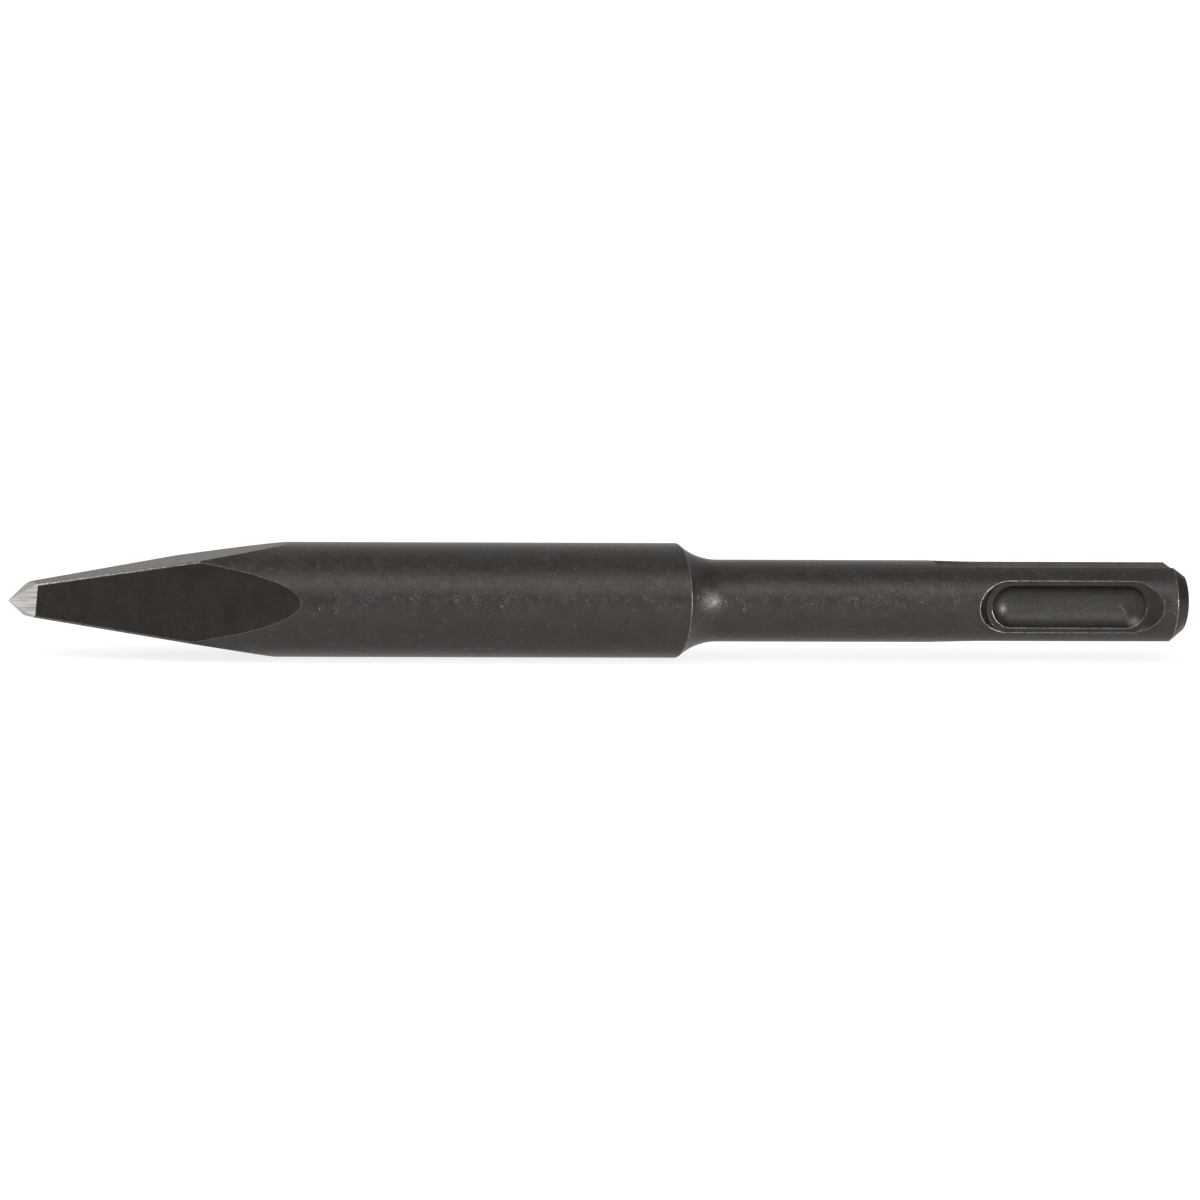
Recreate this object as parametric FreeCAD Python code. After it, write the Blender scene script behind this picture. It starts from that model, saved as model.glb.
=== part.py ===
import FreeCAD, Part
import math
import os

# A short pointed chisel for a rotary hammer: one bar of alloy steel, forged and then ground at the
# tip. Millimetres. The axis of the bar is X, the point looks along -X, and the origin is the centre
# of the striking end. The drive grooves are at the top and bottom (Z), the lock grooves at the
# front and back (Y). The point was forged on first, and its four flats stand a little turned from
# the grooves.

# Driving sizes of the bar
overall_length = 150.0
body_diameter = 14.0
shank_diameter = 10.0
shank_length = 65.0  # striking end to the sharp edge of the body
shoulder_radius = 8.3  # hollow curve from the shank up to that edge
end_chamfer_length = 1.8
end_chamfer_depth = 1.4
blunted_edge = 0.15  # radius of the turned edges after blasting
blunted_chamfer = 0.3  # radius of the chamfer's outer edge

# Driving sizes of the square point
point_width = 4.15  # across the flats where the ground tip begins
point_taper = 8.75  # degrees, each flat to the axis
point_roll = 5.9  # degrees that the flats are turned from the grooves
point_drop = 0.14  # the square lies this far below the axis
corner_land = 0.3  # width of the rounded-off corner between two flats
tip_angle = 70.0  # degrees, across the ground pyramid
tip_flat = 0.15  # width that is left blunt at the very tip
tip_roll = 2.0  # degrees that the hand-ground pyramid is turned from the flats
tip_drop = 0.26  # its centre lies this far below the axis

# Driving sizes of the two closed grooves, in which the locking ball sits
lock_near = 8.12  # striking end to the near centre of the ball's travel
lock_far = 22.8  # striking end to the far centre
lock_ball_radius = 3.1
lock_depth = 2.6  # bottom of the trough below the round shank
seat_radius = 3.3  # round end of the flat seat around the trough
seat_depth = 1.16  # the seat runs out sideways onto the round shank
seat_wall_slope = 43.0  # degrees, seat wall to seat floor

# Driving sizes of the two open grooves, which take the drive
drive_depth = 1.8
drive_floor_width = 2.6
drive_flank_lean = 26.0  # degrees, each flank out from upright
drive_corner_radius = 0.4
drive_full_depth = 25.2  # striking end to where the floor starts to rise
drive_runout_radius = 15.0

# How far a cutting shape reaches past the surface that it cuts
overreach = 1.0

body_radius = body_diameter / 2
shank_radius = shank_diameter / 2
X_AXIS = FreeCAD.Vector(1, 0, 0)
ORIGIN = FreeCAD.Vector(0, 0, 0)


def outline(edges):
    """Closed face from edges that follow each other."""
    return Part.Face(Part.Wire(edges))


def line(start, end):
    return Part.LineSegment(start, end).toShape()


def arc(start, middle, end):
    return Part.Arc(start, middle, end).toShape()


def side_point(x, height):
    """Point in the upright plane through the axis."""
    return FreeCAD.Vector(x, 0, height)


def flat_height(from_tip):
    """Height of a flat above the middle of the square, at a distance from the tip."""
    slope = math.tan(math.radians(point_taper))
    return point_width / 2 + slope * (from_tip - tip_length)


tip_slope = math.tan(math.radians(tip_angle / 2))
tip_length = (point_width - tip_flat) / 2 / tip_slope


def first_point(edge):
    return edge.valueAt(edge.FirstParameter)


def last_point(edge):
    return edge.valueAt(edge.LastParameter)


def rounding(before, corner, after, radius):
    """Arc that rounds one corner of an outline off."""
    back = (before - corner).normalize()
    on = (after - corner).normalize()
    half_opening = back.getAngle(on) / 2
    reach = radius / math.tan(half_opening)
    inwards = (back + on).normalize()
    middle = corner + inwards * (radius / math.sin(half_opening) - radius)
    return arc(corner + back * reach, middle, corner + on * reach)


def bar():
    """The forged bar in the round, turned from one half outline."""
    # The hollow shoulder would meet the body's line at the shank length. It meets the blunt edge.
    shoulder_z = shank_radius + shoulder_radius
    rise_left = shoulder_z - body_radius
    shoulder_foot = -shank_length + math.sqrt(shoulder_radius**2 - rise_left**2)
    edge_reach = shoulder_radius + blunted_edge
    edge_turn = math.acos((rise_left + blunted_edge) / edge_reach)
    edge_x = shoulder_foot - edge_reach * math.sin(edge_turn)

    def on_shoulder(angle):
        run = shoulder_radius * math.sin(angle)
        return side_point(shoulder_foot - run, shoulder_z - shoulder_radius * math.cos(angle))

    def on_edge(angle):
        run = blunted_edge * math.sin(angle)
        return side_point(edge_x + run, body_radius - blunted_edge * (1 - math.cos(angle)))

    end_centre = side_point(0, 0)
    end_rim = side_point(0, shank_radius - end_chamfer_depth)
    chamfer_edge = side_point(-end_chamfer_length, shank_radius)
    foot = on_shoulder(0)
    nose_rim = side_point(-overall_length, body_radius)
    nose_centre = side_point(-overall_length, 0)

    end_arc = rounding(end_centre, end_rim, chamfer_edge, blunted_edge)
    chamfer_arc = rounding(end_rim, chamfer_edge, foot, blunted_chamfer)
    shoulder_arc = arc(foot, on_shoulder(edge_turn / 2), on_shoulder(edge_turn))
    edge_arc = arc(on_edge(edge_turn), on_edge(edge_turn / 2), on_edge(0))
    edges = [
        line(end_centre, first_point(end_arc)),
        end_arc,
        line(last_point(end_arc), first_point(chamfer_arc)),
        chamfer_arc,
        line(last_point(chamfer_arc), foot),
        shoulder_arc,
        edge_arc,
        line(on_edge(0), nose_rim),
        line(nose_rim, nose_centre),
        line(nose_centre, end_centre),
    ]
    return outline(edges).revolve(ORIGIN, X_AXIS, 360)


def across(face):
    """Cutting shape from an upright face, wide enough to pass both sides of the body."""
    half_width = body_radius + overreach
    face.translate(FreeCAD.Vector(0, -half_width, 0))
    return face.extrude(FreeCAD.Vector(0, 2 * half_width, 0))


def flat_cutter():
    """What the forging die leaves out above one flat."""
    top = body_radius + overreach
    front_x = -overall_length - overreach
    flat_end = tip_length + (top - point_width / 2) / math.tan(math.radians(point_taper))
    low_front = side_point(front_x, flat_height(-overreach))
    high_front = side_point(front_x, top)
    high_back = side_point(flat_end - overall_length, top)
    return across(
        outline(
            [
                line(low_front, high_back),
                line(high_back, high_front),
                line(high_front, low_front),
            ]
        )
    )


def corner_cutter():
    """What the die leaves out around the point: a cone, which rounds the four corners off."""
    top = body_radius + overreach
    front_x = -overall_length - overreach
    rise = math.sqrt(2) * math.tan(math.radians(point_taper))
    nose_radius = math.sqrt(2) * flat_height(0) - corner_land / 2
    low_front = side_point(front_x, nose_radius - overreach * rise)
    high_front = side_point(front_x, top)
    high_back = side_point(-overall_length + (top - nose_radius) / rise, top)
    face = outline([line(low_front, high_back), line(high_back, high_front), line(high_front, low_front)])
    return face.revolve(ORIGIN, X_AXIS, 360)


def tip_cutter():
    """What the grinding wheel takes off one side of the tip."""
    apex_x = -overall_length - tip_flat / 2 / tip_slope
    top = body_radius + overreach
    low = side_point(apex_x - overreach, -overreach * tip_slope)
    back = side_point(apex_x + top / tip_slope, top)
    front = side_point(apex_x - overreach, top)
    return across(outline([line(low, back), line(back, front), line(front, low)]))


def lock_groove():
    """Closed groove in the +Y side: a round-ended flat seat with a ball trough sunk into it."""
    floor_y = shank_radius - seat_depth
    height = seat_depth + overreach
    mouth_radius = seat_radius + height / math.tan(math.radians(seat_wall_slope))
    ball_y = shank_radius - lock_depth + lock_ball_radius
    travel = FreeCAD.Vector(lock_far - lock_near, 0, 0)
    outwards = FreeCAD.Vector(0, 1, 0)

    pieces = []
    for centre_x in (-lock_near, -lock_far):
        seat_centre = FreeCAD.Vector(centre_x, floor_y, 0)
        ball_centre = FreeCAD.Vector(centre_x, ball_y, 0)
        pieces.append(Part.makeCone(seat_radius, mouth_radius, height, seat_centre, outwards))
        pieces.append(Part.makeSphere(lock_ball_radius, ball_centre))

    corners = [
        FreeCAD.Vector(-lock_far, floor_y, -seat_radius),
        FreeCAD.Vector(-lock_far, floor_y, seat_radius),
        FreeCAD.Vector(-lock_far, floor_y + height, mouth_radius),
        FreeCAD.Vector(-lock_far, floor_y + height, -mouth_radius),
    ]
    section = Part.Face(Part.makePolygon(corners + corners[:1]))
    pieces.append(section.extrude(travel))
    trough_start = FreeCAD.Vector(-lock_far, ball_y, 0)
    pieces.append(Part.makeCylinder(lock_ball_radius, travel.Length, trough_start, X_AXIS))
    return pieces[0].multiFuse(pieces[1:])


def drive_section(x):
    """Section of the open groove: flat floor, round corners, leaning flanks."""
    lean = math.radians(drive_flank_lean)
    floor_z = shank_radius - drive_depth
    top_z = shank_radius + overreach
    half_floor = drive_floor_width / 2
    half_top = half_floor + (top_z - floor_z) * math.tan(lean)

    # A corner's arc starts this far from the point where floor and flank would meet.
    turn = math.pi / 2 - lean
    setback = drive_corner_radius * math.tan(turn / 2)
    floor_end = half_floor - setback
    arc_y = floor_end + drive_corner_radius * math.sin(turn / 2)
    arc_z = floor_z + drive_corner_radius * (1 - math.cos(turn / 2))
    flank_y = half_floor + setback * math.sin(lean)
    flank_z = floor_z + setback * math.cos(lean)

    def at(y, z):
        return FreeCAD.Vector(x, y, z)

    return outline(
        [
            line(at(-floor_end, floor_z), at(floor_end, floor_z)),
            arc(at(floor_end, floor_z), at(arc_y, arc_z), at(flank_y, flank_z)),
            line(at(flank_y, flank_z), at(half_top, top_z)),
            line(at(half_top, top_z), at(-half_top, top_z)),
            line(at(-half_top, top_z), at(-flank_y, flank_z)),
            arc(at(-flank_y, flank_z), at(-arc_y, arc_z), at(-floor_end, floor_z)),
        ]
    )


def drive_groove():
    """Open groove in the +Z side: straight from the striking end, then it rises out on an arc."""
    section = drive_section(-drive_full_depth)
    straight = section.extrude(FreeCAD.Vector(drive_full_depth + overreach, 0, 0))
    wheel_z = shank_radius - drive_depth + drive_runout_radius
    wheel_centre = FreeCAD.Vector(-drive_full_depth, 0, wheel_z)
    clear = 1 - (drive_depth + overreach) / drive_runout_radius
    runout = section.revolve(wheel_centre, FreeCAD.Vector(0, 1, 0), math.degrees(math.acos(clear)))
    return straight.fuse(runout)


def turned(shape, degrees):
    """Copy of a shape, turned about the bar's axis."""
    copy = shape.copy()
    copy.rotate(ORIGIN, X_AXIS, degrees)
    return copy


# The flats and the ground tip are cut four times round, the two kinds of groove twice each.
drop = FreeCAD.Vector(0, 0, -point_drop)
cutters = [corner_cutter()]
cutters[0].translate(drop)
for quarter in range(4):
    die_cut = turned(flat_cutter(), 90 * quarter - point_roll)
    die_cut.translate(drop)
    wheel_cut = turned(tip_cutter(), 90 * quarter - point_roll - tip_roll)
    wheel_cut.translate(FreeCAD.Vector(0, 0, -tip_drop))
    cutters += [die_cut, wheel_cut]
for half in range(2):
    cutters.append(turned(lock_groove(), 180 * half))
    cutters.append(turned(drive_groove(), 180 * half))

chisel = bar()
for cutter in cutters:
    chisel = chisel.cut(cutter)
chisel = chisel.removeSplitter().Solids[0]

os.makedirs("parts", exist_ok=True)
chisel.exportStep("parts/pointed_chisel.step")

box = chisel.BoundBox
print("pointed_chisel valid:", chisel.isValid(), "volume mm3:", round(chisel.Volume, 1))
print("box mm:", [round(v, 3) for v in (box.XMin, box.XMax, box.YMin, box.YMax, box.ZMin, box.ZMax)])
print("centre of mass mm:", [round(v, 3) for v in chisel.CenterOfMass])
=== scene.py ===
import math

import bmesh
import bpy
from mathutils import Matrix, Vector


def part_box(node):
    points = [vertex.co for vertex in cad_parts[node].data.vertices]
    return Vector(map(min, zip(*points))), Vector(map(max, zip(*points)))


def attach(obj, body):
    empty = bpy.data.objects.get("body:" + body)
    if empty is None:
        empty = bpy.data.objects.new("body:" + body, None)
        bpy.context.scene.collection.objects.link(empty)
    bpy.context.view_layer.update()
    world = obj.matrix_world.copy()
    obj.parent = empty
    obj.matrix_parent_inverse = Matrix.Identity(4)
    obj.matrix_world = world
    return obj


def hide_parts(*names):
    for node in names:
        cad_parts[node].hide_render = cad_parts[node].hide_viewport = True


# A short pointed chisel for a rotary hammer. It is one bar of alloy steel: the point is forged square,
# the shank is turned and grooved, the bar is hardened, blasted and phosphated dark, and the tip is
# ground bright last. It lies on its side, 150 mm long, and nothing is fixed to it.
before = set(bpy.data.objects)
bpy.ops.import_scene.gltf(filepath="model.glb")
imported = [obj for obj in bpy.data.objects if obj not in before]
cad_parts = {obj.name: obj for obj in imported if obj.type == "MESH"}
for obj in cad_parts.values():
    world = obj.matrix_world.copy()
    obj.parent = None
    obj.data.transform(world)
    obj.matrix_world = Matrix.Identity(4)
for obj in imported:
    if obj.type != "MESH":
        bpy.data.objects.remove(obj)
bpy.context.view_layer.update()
scene = bpy.context.scene

# The forged bar
# A round bar of alloy steel with a hollow shoulder down to the shank. It is turned in one outline
# about the X axis, with the striking end at the origin and the point looking along -X.
MM = 0.001
low_corner, high_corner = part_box("pointed_chisel")
bar_length = high_corner.x - low_corner.x
body_radius = high_corner.z
shank_radius = 5.0 * MM
shank_length = 65.0 * MM
shoulder_radius = 8.3 * MM
end_chamfer_length = 1.8 * MM
end_chamfer_depth = 1.4 * MM
blunted_edge = 0.15 * MM  # radius of the turned edges after blasting
blunted_chamfer = 0.3 * MM
turned_steps = 192
shoulder_steps = 16
weld = 1e-4 * MM  # points nearer than this are one point
BAR, CORNER, FLAT, LOCK, DRIVE, TIP = range(6)  # material slots, one for each way of making


def linear(hex_colour):
    """Linear RGBA from an sRGB hex colour."""
    channels = [int(hex_colour[start : start + 2], 16) / 255 for start in (1, 3, 5)]
    curve = [c / 12.92 if c <= 0.04045 else ((c + 0.055) / 1.055) ** 2.4 for c in channels]
    return (*curve, 1.0)


def add(tree, kind, sockets=None, **settings):
    """Adds a node with its settings; each socket gets a value or another node's output."""
    node = tree.nodes.new(kind)
    for name, value in settings.items():
        setattr(node, name, value)
    for socket, value in (sockets or {}).items():
        if isinstance(value, bpy.types.NodeSocket):
            tree.links.new(value, node.inputs[socket])
        else:
            node.inputs[socket].default_value = value
    return node


def new_material(name):
    """Empty material: the material, its node tree and its output's surface socket."""
    material = bpy.data.materials.new(name)
    material.use_nodes = True
    tree = material.node_tree
    tree.nodes.clear()
    return material, tree, add(tree, "ShaderNodeOutputMaterial").inputs["Surface"]


def dark_steel(name, cool, warm, scratched, glancing, roughness, grain_depth):
    """Hardened steel under a dark crystalline phosphate layer."""
    material, tree, surface = new_material(name)
    place = add(tree, "ShaderNodeTexCoord").outputs["Object"]
    # The blast grit leaves an even grain of about a quarter of a millimetre.
    grain = add(
        tree,
        "ShaderNodeTexNoise",
        {"Vector": place, "Scale": 1 / (0.28 * MM), "Detail": 3.0, "Roughness": 0.7},
    ).outputs["Fac"]
    # The phosphate crystals grow in patches of a few millimetres, some greyer and some browner.
    patches = add(
        tree,
        "ShaderNodeTexNoise",
        {"Vector": place, "Scale": 1 / (2.6 * MM), "Detail": 4.0, "Roughness": 0.6},
    ).outputs["Fac"]
    patch_share = add(
        tree, "ShaderNodeMapRange", {"Value": patches, "From Min": 0.35, "From Max": 0.65}
    ).outputs["Result"]
    layer = add(
        tree, "ShaderNodeMix", {0: patch_share, 6: linear(warm), 7: linear(cool)}, data_type="RGBA"
    ).outputs[2]
    # Handling leaves short curled scratches: the narrow line where a twisted noise crosses its middle.
    middle_value, half_line = 0.5, 0.014
    swirls = add(
        tree,
        "ShaderNodeTexNoise",
        {"Vector": place, "Scale": 1 / (1.8 * MM), "Detail": 2.0, "Distortion": 1.2},
    ).outputs["Fac"]
    scratches = add(
        tree, "ShaderNodeMath", {0: swirls, 1: middle_value, 2: half_line}, operation="COMPARE"
    ).outputs[0]
    # They let the steel through where the layer is thin, in places of about a millimetre.
    thinness = add(
        tree, "ShaderNodeTexNoise", {"Vector": place, "Scale": 1 / (1.1 * MM), "Detail": 1.0}
    ).outputs["Fac"]
    thin = add(
        tree, "ShaderNodeMapRange", {"Value": thinness, "From Min": 0.5, "From Max": 0.6}
    ).outputs["Result"]
    shown = add(tree, "ShaderNodeMath", {0: scratches, 1: thin}, operation="MULTIPLY").outputs[0]
    handled = add(
        tree, "ShaderNodeMix", {0: shown, 6: layer, 7: linear(scratched)}, data_type="RGBA"
    ).outputs[2]
    # Rims are rubbed through to the steel, with breaks every half a millimetre or so; the same mask also
    # carries painted highlight on the rims that face the lamps.
    rubbed_and_lit = add(tree, "ShaderNodeAttribute", attribute_name="wear_and_highlight").outputs["Fac"]
    breaks = add(
        tree, "ShaderNodeTexNoise", {"Vector": place, "Scale": 1 / (0.28 * MM), "Detail": 2.0}
    ).outputs["Fac"]
    held = add(
        tree, "ShaderNodeMapRange", {"Value": breaks, "From Min": 0.38, "From Max": 0.56, "To Min": 0.3}
    ).outputs["Result"]
    bright = add(tree, "ShaderNodeMath", {0: rubbed_and_lit, 1: held}, operation="MULTIPLY").outputs[0]
    colour = add(
        tree, "ShaderNodeMix", {0: bright, 6: handled, 7: linear("#99948D")}, data_type="RGBA"
    ).outputs[2]
    # The grain stands out more where the layer is thin, and the scratches are sunk into it.
    scratch_sink = -0.6  # in heights of the grain
    relief = add(
        tree, "ShaderNodeMapRange", {"Value": thinness, "From Min": 0.35, "From Max": 0.65, "To Min": 0.35}
    ).outputs["Result"]
    height = add(
        tree, "ShaderNodeMath", {0: shown, 1: scratch_sink, 2: grain}, operation="MULTIPLY_ADD"
    ).outputs[0]
    bump = add(
        tree, "ShaderNodeBump", {"Height": height, "Strength": relief, "Distance": grain_depth}
    ).outputs["Normal"]
    steel = add(
        tree,
        "ShaderNodeBsdfPrincipled",
        {
            "Base Color": colour,
            "Metallic": 1.0,
            "Specular Tint": linear(glancing),
            "Roughness": roughness,
            "Normal": bump,
        },
    )
    tree.links.new(steel.outputs["BSDF"], surface)
    return material


def rounded(before, corner, after, radius, steps=4):
    """Points of the arc that rounds one corner of an outline."""
    corner = Vector(corner)
    back, on = (Vector(before) - corner).normalized(), (Vector(after) - corner).normalized()
    half_opening = back.angle(on) / 2
    centre = corner + (back + on).normalized() * radius / math.sin(half_opening)
    reach = radius / math.tan(half_opening)
    first = (corner + back * reach - centre).normalized()
    last = (corner + on * reach - centre).normalized()
    return [centre + radius * first.slerp(last, step / steps) for step in range(steps + 1)]


def spun(bm, outline, axis, steps):
    """Closed round body from an open outline beside its axis, with a flat cap at both ends."""
    verts = [bm.verts.new((along, 0, out)) for along, out in outline]
    edges = [bm.edges.new(pair) for pair in zip(verts, verts[1:])]
    bmesh.ops.spin(bm, geom=verts + edges, axis=axis, angle=math.tau, steps=steps, use_merge=True)
    bmesh.ops.remove_doubles(bm, verts=bm.verts, dist=weld)
    bmesh.ops.holes_fill(bm, edges=[edge for edge in bm.edges if edge.is_boundary])


def to_object(bm, name, slot):
    """Object from a bmesh, its faces looking outwards and all in one material slot."""
    bmesh.ops.remove_doubles(bm, verts=bm.verts, dist=weld)
    bmesh.ops.recalc_face_normals(bm, faces=bm.faces)
    for face in bm.faces:
        face.material_index = slot
    mesh = bpy.data.meshes.new(name)
    bm.to_mesh(mesh)
    bm.free()
    made = bpy.data.objects.new(name, mesh)
    scene.collection.objects.link(made)
    return made


shoulder_step = body_radius - shank_radius
shoulder_run = math.sqrt(shoulder_radius**2 - (shoulder_radius - shoulder_step) ** 2)
shoulder_turn = math.asin(shoulder_run / shoulder_radius)
shoulder = []
for step in range(shoulder_steps + 1):
    angle = shoulder_turn * step / shoulder_steps
    along = shoulder_run - shank_length - shoulder_radius * math.sin(angle)
    shoulder.append((along, shank_radius + shoulder_radius * (1 - math.cos(angle))))

end_centre, end_rim = (0, 0), (0, shank_radius - end_chamfer_depth)
chamfer_edge, body_edge = (-end_chamfer_length, shank_radius), shoulder.pop()
nose_rim = (-bar_length, body_radius)
end_arc = rounded(end_centre, end_rim, chamfer_edge, blunted_edge)
chamfer_arc = rounded(end_rim, chamfer_edge, shoulder[0], blunted_chamfer)
body_arc = rounded(shoulder[-1], body_edge, nose_rim, blunted_edge)
bm = bmesh.new()
spun(bm, [*end_arc, *chamfer_arc, *shoulder, *body_arc, nose_rim], (1, 0, 0), turned_steps)
chisel = to_object(bm, "chisel_steel", BAR)
# Satin, dark and grainy: the blasted and phosphated skin of the body and the shank.
blasted_steel = dark_steel(
    "blasted_phosphated_steel",
    cool="#464341",
    warm="#453E39",
    scratched="#524E49",
    glancing="#FFFFFF",
    roughness=0.35,
    grain_depth=0.06 * MM,
)

# The square point
# The die squares the end of the bar with four flats, which taper to the tip and run out on the round
# body, and a cone rounds their corners off. The square stands a little turned from the grooves and
# below the axis, as forging leaves it.
point_width = 4.15 * MM  # across the flats where the ground tip begins
point_slope = math.tan(math.radians(8.75))
point_roll = math.radians(5.9)
point_drop = 0.14 * MM
corner_land = 0.3 * MM
tip_flat = 0.15 * MM
tip_slope = math.tan(math.radians(35.0))
tip_length = (point_width - tip_flat) / 2 / tip_slope
clear = 1.0 * MM  # how far a cutting shape reaches past the surface that it cuts
cut_top = body_radius + clear


def flat_height(from_tip):
    """Height of a flat above the middle of the square, at a distance from the tip."""
    return point_width / 2 + point_slope * (from_tip - tip_length)


def ring(bm, outline, steps):
    """Closed ring about X from a closed outline beside it."""
    verts = [bm.verts.new((along, 0, out)) for along, out in outline]
    edges = [bm.edges.new(pair) for pair in zip(verts, verts[1:] + verts[:1])]
    bmesh.ops.spin(bm, geom=verts + edges, axis=(1, 0, 0), angle=math.tau, steps=steps, use_merge=True)


def prism(bm, points, way):
    """Prism from a closed outline, pushed along a way: its far cap."""
    near = [bm.verts.new(point) for point in points]
    grown = bmesh.ops.extrude_face_region(bm, geom=[bm.faces.new(near)])["geom"]
    far = [item for item in grown if isinstance(item, bmesh.types.BMVert)]
    bmesh.ops.translate(bm, verts=far, vec=way)
    return [item for item in grown if isinstance(item, bmesh.types.BMFace)]


corner_rise = math.sqrt(2) * point_slope
nose_radius = math.sqrt(2) * flat_height(0) - corner_land / 2
corner_outline = [
    (-bar_length - clear, nose_radius - clear * corner_rise),
    ((cut_top - nose_radius) / corner_rise - bar_length, cut_top),
    (-bar_length - clear, cut_top),
]
bm = bmesh.new()
ring(bm, corner_outline, turned_steps)
bmesh.ops.translate(bm, verts=bm.verts, vec=(0, 0, -point_drop))
cutters = [to_object(bm, "corner_cutter", CORNER)]

flat_outline = [
    (-bar_length - clear, -cut_top, flat_height(-clear)),
    ((cut_top - flat_height(0)) / point_slope - bar_length, -cut_top, cut_top),
    (-bar_length - clear, -cut_top, cut_top),
]
for side in range(4):
    bm = bmesh.new()
    prism(bm, flat_outline, (0, 2 * cut_top, 0))
    turn = Matrix.Rotation(math.pi / 2 * side - point_roll, 3, "X")
    bmesh.ops.rotate(bm, verts=bm.verts, matrix=turn)
    bmesh.ops.translate(bm, verts=bm.verts, vec=(0, 0, -point_drop))
    cutters.append(to_object(bm, "flat_cutter", FLAT))
# Smoother and darker than the body: the die has pressed the skin of the flats close.
forged_steel = dark_steel(
    "die_forged_steel",
    cool="#3F3C3A",
    warm="#3A342F",
    scratched="#413D39",
    glancing="#E4DED8",
    roughness=0.30,
    grain_depth=0.045 * MM,
)

# The lock grooves
# Two closed grooves face each other in the sides of the shank, for the holder's locking balls. Each
# is a round-ended trough, sunk into a flat seat that runs out sideways onto the round shank.
lock_near = 8.12 * MM
lock_far = 22.8 * MM
lock_ball_radius = 3.1 * MM
lock_depth = 2.6 * MM
seat_radius = 3.3 * MM
seat_depth = 1.16 * MM
seat_wall_slope = math.radians(43.0)
trough_brink = 0.12 * MM  # radius of the worn edge between trough and seat
seat_hollow = 0.2 * MM  # radius between the seat and its wall
groove_steps = 112
trough_steps = 24  # from the middle of the trough up to its brink

seat_out = shank_radius - seat_depth
ball_out = shank_radius - lock_depth + lock_ball_radius
brink_angle = math.acos((ball_out - seat_out) / lock_ball_radius)
groove_line = []
for step in range(1, trough_steps + 1):
    angle = brink_angle * step / trough_steps
    groove_line.append((lock_ball_radius * math.sin(angle), ball_out - lock_ball_radius * math.cos(angle)))
brink, seat_foot = groove_line.pop(), (seat_radius, seat_out)
mouth = (seat_radius + (seat_depth + clear) / math.tan(seat_wall_slope), shank_radius + clear)
groove_line += rounded(groove_line[-1], brink, seat_foot, trough_brink)
groove_line += rounded(brink, seat_foot, mouth, seat_hollow)
groove_line.append(mouth)
for side in (-1, 1):
    bm = bmesh.new()
    spun(bm, groove_line, (0, 0, 1), groove_steps)
    bmesh.ops.rotate(bm, verts=bm.verts, matrix=Matrix.Rotation(math.pi / groove_steps, 3, "Z"))
    for vert in bm.verts:
        vert.co.x -= lock_near if vert.co.x > 0 else lock_far
    bmesh.ops.rotate(bm, verts=bm.verts, matrix=Matrix.Rotation(math.pi / 2 * side, 3, "X"))
    cutters.append(to_object(bm, "lock_cutter", LOCK))
# A shade duller than the body, with a shallower grain: the grooves show broad, soft lights.
groove_steel = dark_steel(
    "rolled_groove_steel",
    cool="#464441",
    warm="#453F3A",
    scratched="#524E4A",
    glancing="#FFFFFF",
    roughness=0.38,
    grain_depth=0.05 * MM,
)

# The drive grooves
# Two open grooves run in from the striking end, at the top and bottom of the shank, for the
# holder's driving keys. Their milled floor rises out of the steel on an arc.
drive_depth = 1.8 * MM
drive_floor_width = 2.6 * MM
drive_flank_lean = math.radians(26.0)
drive_corner_radius = 0.4 * MM
drive_full_depth = 25.2 * MM
drive_runout_radius = 15.0 * MM
drive_corner_steps = 6
drive_runout_steps = 20

floor_out = shank_radius - drive_depth
drive_top = shank_radius + clear
half_floor = drive_floor_width / 2
half_top = half_floor + (drive_top - floor_out) * math.tan(drive_flank_lean)
floor_corner, flank_top = (half_floor, floor_out), (half_top, drive_top)
corner_arc = rounded((0, floor_out), floor_corner, flank_top, drive_corner_radius, drive_corner_steps)
half_section = [*corner_arc, flank_top]
section = [(clear, -across, out) for across, out in reversed(half_section)]
section += [(clear, across, out) for across, out in half_section]
wheel_centre = (-drive_full_depth, 0, floor_out + drive_runout_radius)
runout_turn = math.acos(1 - (drive_depth + clear) / drive_runout_radius)
for half in range(2):
    bm = bmesh.new()
    cap = prism(bm, section, (-clear - drive_full_depth, 0, 0))
    geom = cap + list(cap[0].edges) + list(cap[0].verts)
    bmesh.ops.spin(
        bm, geom=geom, cent=wheel_centre, axis=(0, 1, 0), angle=runout_turn, steps=drive_runout_steps
    )
    bmesh.ops.rotate(bm, verts=bm.verts, matrix=Matrix.Rotation(math.pi * half, 3, "X"))
    cutters.append(to_object(bm, "drive_cutter", DRIVE))

# Cutting and softening
# The cutting shapes are taken off the bar, and every rim that they leave gets the small round of blasting
# and use. The dark layer wears through first on these rims. On the flats' upper edges near the tip and on
# the troughs' lower brinks, which face the light, the bright rims are painted highlight as well as wear.
rim_width = 0.07 * MM
smallest_edge = 0.015 * MM
end_wear = 0.6  # share of full wear from the near ends of the lock grooves to the striking end
least_wear = 0.3  # the same on the flats' lower edges, and on the upper ones far from the tip
flat_rim_highlight_run = 18.0 * MM  # run from the tip over which the painted highlight on the flats' upper edges fades out
brink_reach = trough_brink / 3  # from the sharp corner to the points of the lower brinks that are painted bright: wear and painted highlight
worn_rings = [*end_arc[1:-1], *chamfer_arc[1:-1], *body_arc[1:-1]]


def from_trough(point):
    """Distance from the middle line of the lock grooves' troughs, seen square on."""
    return math.dist((point.x, point.z), (min(max(point.x, -lock_far), -lock_near), 0))


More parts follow.
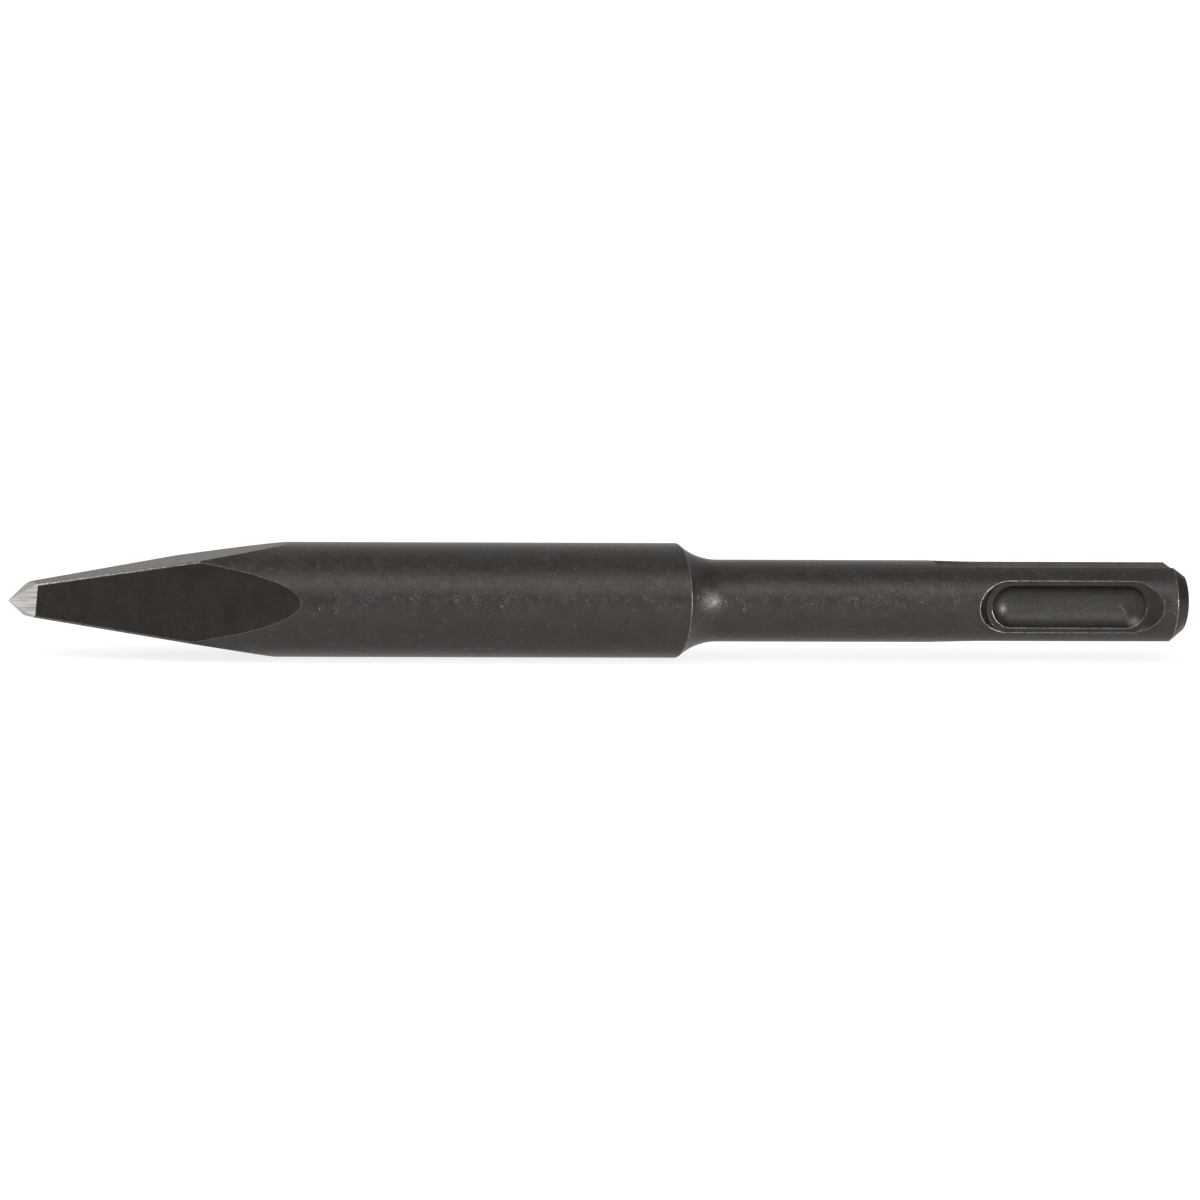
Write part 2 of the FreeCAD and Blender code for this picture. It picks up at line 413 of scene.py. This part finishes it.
for cutter in cutters:
    cut = chisel.modifiers.new(cutter.name, "BOOLEAN")
    cut.operation = "DIFFERENCE"
    cut.solver = "EXACT"
    cut.object = cutter
for piece in (chisel, *cutters):
    for finish in (blasted_steel, blasted_steel, forged_steel, groove_steel, groove_steel):
        piece.data.materials.append(finish)
depsgraph = bpy.context.evaluated_depsgraph_get()
cut_mesh = bpy.data.meshes.new_from_object(chisel.evaluated_get(depsgraph))
bm = bmesh.new()
bm.from_mesh(cut_mesh)
bmesh.ops.remove_doubles(bm, verts=bm.verts, dist=smallest_edge)
rims = [edge for edge in bm.edges if len({face.material_index for face in edge.link_faces}) == 2]
softened = bmesh.ops.bevel(
    bm,
    geom=rims,
    offset=rim_width,
    segments=3,
    profile=0.5,
    affect="EDGES",
    material=-1,
    clamp_overlap=False,
)
for face in bm.faces:
    centre = face.calc_center_median()
    if face.material_index == BAR and centre.x > -end_chamfer_length:
        face.material_index = FLAT  # the end is turned as smooth as the die leaves the flats
    if face.material_index == LOCK and from_trough(centre) > brink[0]:
        face.material_index = FLAT  # and the seats of the lock grooves are pressed as smooth
rubbed_faces = set(softened["faces"]) | {face for face in bm.faces if face.material_index == CORNER}
wear_and_highlight = bm.verts.layers.float.new("wear_and_highlight")
for vert in bm.verts:
    x, out = vert.co.x, vert.co.yz.length
    on_rim = rubbed_faces.issuperset(vert.link_faces)
    on_ring = any(math.dist((x, out), ring_point) < smallest_edge for ring_point in worn_rings)
    groove_point = (from_trough(vert.co), abs(vert.co.y))
    # Only the lower brinks, which face the lamps, are marked bright: painted highlight as well as wear.
    on_lit_brink = vert.co.z < 0 and math.dist(groove_point, brink) < brink_reach
    share = end_wear if x > -lock_near else 1.0
    # On the flats, the upper edges face the lamps and are brighter towards the tip than the lower ones:
    # painted highlight.
    if x < -shank_length - blunted_edge:
        fading = 1.0 - (x + bar_length) / flat_rim_highlight_run
        share = max(least_wear, fading * (vert.co.z > 0))
    vert[wear_and_highlight] = share * (on_rim or on_ring or on_lit_brink)

# The ground tip
# Four facets ground by hand on a wheel, which leave bright steel with fine lines along the bar. They
# are made last, a little turned from the flats and off centre, and each is mapped in metres for its
# lines: along the bar and across it.
tip_roll = math.radians(2.0)
tip_drop = 0.26 * MM
facet_tolerance = 1e-6 * MM  # points nearer than this to a facet's plane lie in it
apex = Vector((-bar_length - tip_flat / 2 / tip_slope, 0, -tip_drop))
for side in range(4):
    turn = Matrix.Rotation(math.pi / 2 * side - point_roll - tip_roll, 3, "X")
    outwards = turn @ Vector((-tip_slope, 0, 1)).normalized()
    geom = [*bm.verts, *bm.edges, *bm.faces]
    ground = bmesh.ops.bisect_plane(
        bm, geom=geom, dist=facet_tolerance, plane_co=apex, plane_no=outwards, clear_outer=True
    )
    rim = [item for item in ground["geom_cut"] if isinstance(item, bmesh.types.BMEdge)]
    for face in bmesh.ops.holes_fill(bm, edges=rim)["faces"]:
        face.material_index = TIP
bmesh.ops.recalc_face_normals(bm, faces=bm.faces)
wheel = bm.loops.layers.uv.new("wheel")
for face in bm.faces:
    face.smooth = True
    if face.material_index == TIP:
        across = face.normal.cross(Vector((1, 0, 0))).normalized()
        for loop in face.loops:
            loop[wheel].uv = (loop.vert.co.x, loop.vert.co.dot(across))
for edge in bm.edges:
    edge.smooth = all(face.material_index != TIP for face in edge.link_faces)

bm.to_mesh(chisel.data)
bm.free()
chisel.modifiers.clear()
for cutter in cutters:
    bpy.data.objects.remove(cutter)
shading = chisel.modifiers.new("flat_faces_stay_flat", "WEIGHTED_NORMAL")
shading.keep_sharp = True
shading.weight = 90

# Bright, with the wheel's lines. They are 0.3 mm apart, drawn coarser than real ones to be seen.
tip_steel, tree, surface = new_material("ground_tool_steel")
facet = add(tree, "ShaderNodeUVMap", uv_map="wheel").outputs["UV"]
along_lines = add(
    tree, "ShaderNodeMapping", {"Vector": facet, "Scale": (1 / (4.0 * MM), 1 / (0.3 * MM), 1.0)}
).outputs["Vector"]
lines = add(tree, "ShaderNodeTexNoise", {"Vector": along_lines, "Scale": 1.0, "Detail": 3.0}).outputs["Fac"]
streaks = add(
    tree, "ShaderNodeMapRange", {"Value": lines, "From Min": 0.4, "From Max": 0.62}
).outputs["Result"]
colour = add(
    tree, "ShaderNodeMix", {0: streaks, 6: linear("#D9D6D2"), 7: linear("#A8A29C")}, data_type="RGBA"
).outputs[2]
bump = add(
    tree, "ShaderNodeBump", {"Height": lines, "Strength": 1.0, "Distance": 0.02 * MM}
).outputs["Normal"]
steel = add(
    tree,
    "ShaderNodeBsdfPrincipled",
    {
        "Base Color": colour,
        "Metallic": 1.0,
        "Specular Tint": linear("#D2CAC2"),
        "Roughness": 0.34,
        "Normal": bump,
    },
)
tree.links.new(steel.outputs["BSDF"], surface)
chisel.data.materials.append(tip_steel)

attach(chisel, "root")
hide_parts("pointed_chisel")

# The floor
# A plain sheet of white paper under the chisel, wide enough to run out of the picture. It glows a
# little, so that it stays white and keeps only a soft shadow.
floor_half = 2.0
mirrored_glow = 0.75  # share of the paper's glow that the steel mirrors
bm = bmesh.new()
bmesh.ops.create_grid(bm, x_segments=1, y_segments=1, size=floor_half)
bmesh.ops.translate(bm, verts=bm.verts, vec=(-bar_length / 2, 0, low_corner.z))
floor = to_object(bm, "floor", 0)
paper, tree, surface = new_material("white_paper")
rays = add(tree, "ShaderNodeLightPath").outputs
seen = add(
    tree,
    "ShaderNodeMath",
    {0: rays["Is Glossy Ray"], 1: mirrored_glow, 2: rays["Is Camera Ray"]},
    operation="MULTIPLY_ADD",
).outputs[0]
glow = add(tree, "ShaderNodeEmission", {"Color": linear("#FFFFFF"), "Strength": 0.82}).outputs[0]
sheet = add(tree, "ShaderNodeBsdfDiffuse", {"Color": linear("#D9D9D9")}).outputs[0]
half_sheet = add(tree, "ShaderNodeBsdfDiffuse", {"Color": linear("#909090")}).outputs[0]
both = add(tree, "ShaderNodeAddShader", {0: glow, 1: half_sheet}).outputs[0]
mixed = add(tree, "ShaderNodeMixShader", {0: seen, 1: sheet, 2: both}).outputs[0]
tree.links.new(mixed, surface)
floor.data.materials.append(paper)

# The studio light
# A white room whose far left side is the brightest, and three soft lamps: a small strong one low on
# the right, a wide weak one above and to the right of the camera, and one high on the left.
bright_side = (-0.9, 0.43, 0.0)
world = bpy.data.worlds.new("studio")
scene.world = world
world.use_nodes = True
tree = world.node_tree
tree.nodes.clear()
rays = add(tree, "ShaderNodeLightPath").outputs
direction = add(tree, "ShaderNodeTexCoord").outputs["Generated"]
behind = add(
    tree, "ShaderNodeVectorMath", {0: direction, 1: bright_side}, operation="DOT_PRODUCT"
).outputs["Value"]
sweep = add(
    tree,
    "ShaderNodeMapRange",
    {"Value": behind, "From Min": -0.42, "From Max": 0.1, "To Min": 0.56, "To Max": 1.05},
    interpolation_type="SMOOTHSTEP",
).outputs["Result"]
strength = add(
    tree, "ShaderNodeMix", {0: rays["Is Camera Ray"], 2: sweep, 3: 1.0}, data_type="FLOAT"
).outputs[0]
background = add(tree, "ShaderNodeBackground", {"Strength": strength}).outputs[0]
add(tree, "ShaderNodeOutputWorld", {"Surface": background})

middle = Vector((-bar_length / 2, 0, 0))


def softbox(name, azimuth, elevation, size, power):
    """Soft lamp a metre from the middle of the bar; azimuth 0 is in front, along -Y."""
    turn, rise = math.radians(azimuth), math.radians(elevation)
    away = Vector((math.sin(turn) * math.cos(rise), -math.cos(turn) * math.cos(rise), math.sin(rise)))
    lamp = bpy.data.lights.new(name, "AREA")
    lamp.size = size
    lamp.energy = power
    lamp.color = linear("#F2F9FF")[:3]
    made = bpy.data.objects.new(name, lamp)
    made.location = middle + away
    made.rotation_euler = away.to_track_quat("Z", "Y").to_euler()
    scene.collection.objects.link(made)


softbox("table_softbox", azimuth=51, elevation=5, size=0.25, power=5.9)
softbox("front_softbox", azimuth=22, elevation=40, size=0.5, power=1.8)
softbox("high_softbox", azimuth=-50, elevation=66, size=0.4, power=4.4)

# The camera
# It stands 18 degrees round towards the point and 10 degrees above the axis, far off.
camera_turn = math.radians(-18.0)
camera_rise = math.radians(10.0)
camera_roll = math.radians(0.165)
camera_distance = 6.0
seen_width = 146.2 * MM
looked_at = Vector((-74.56 * MM, 0, 0.02 * MM))
camera = bpy.data.objects.new("camera", bpy.data.cameras.new("camera"))
scene.collection.objects.link(camera)
stance = Matrix.Rotation(math.pi / 2 - camera_rise, 4, "X")
stance = stance @ Matrix.Rotation(camera_turn, 4, "Y") @ Matrix.Rotation(camera_roll, 4, "Z")
camera.matrix_world = Matrix.Translation(looked_at) @ stance @ Matrix.Translation((0, 0, camera_distance))
camera.data.lens = camera.data.sensor_width * camera_distance / seen_width
camera.data.clip_end = 2 * camera_distance
scene.camera = camera

scene.view_settings.view_transform = "Standard"
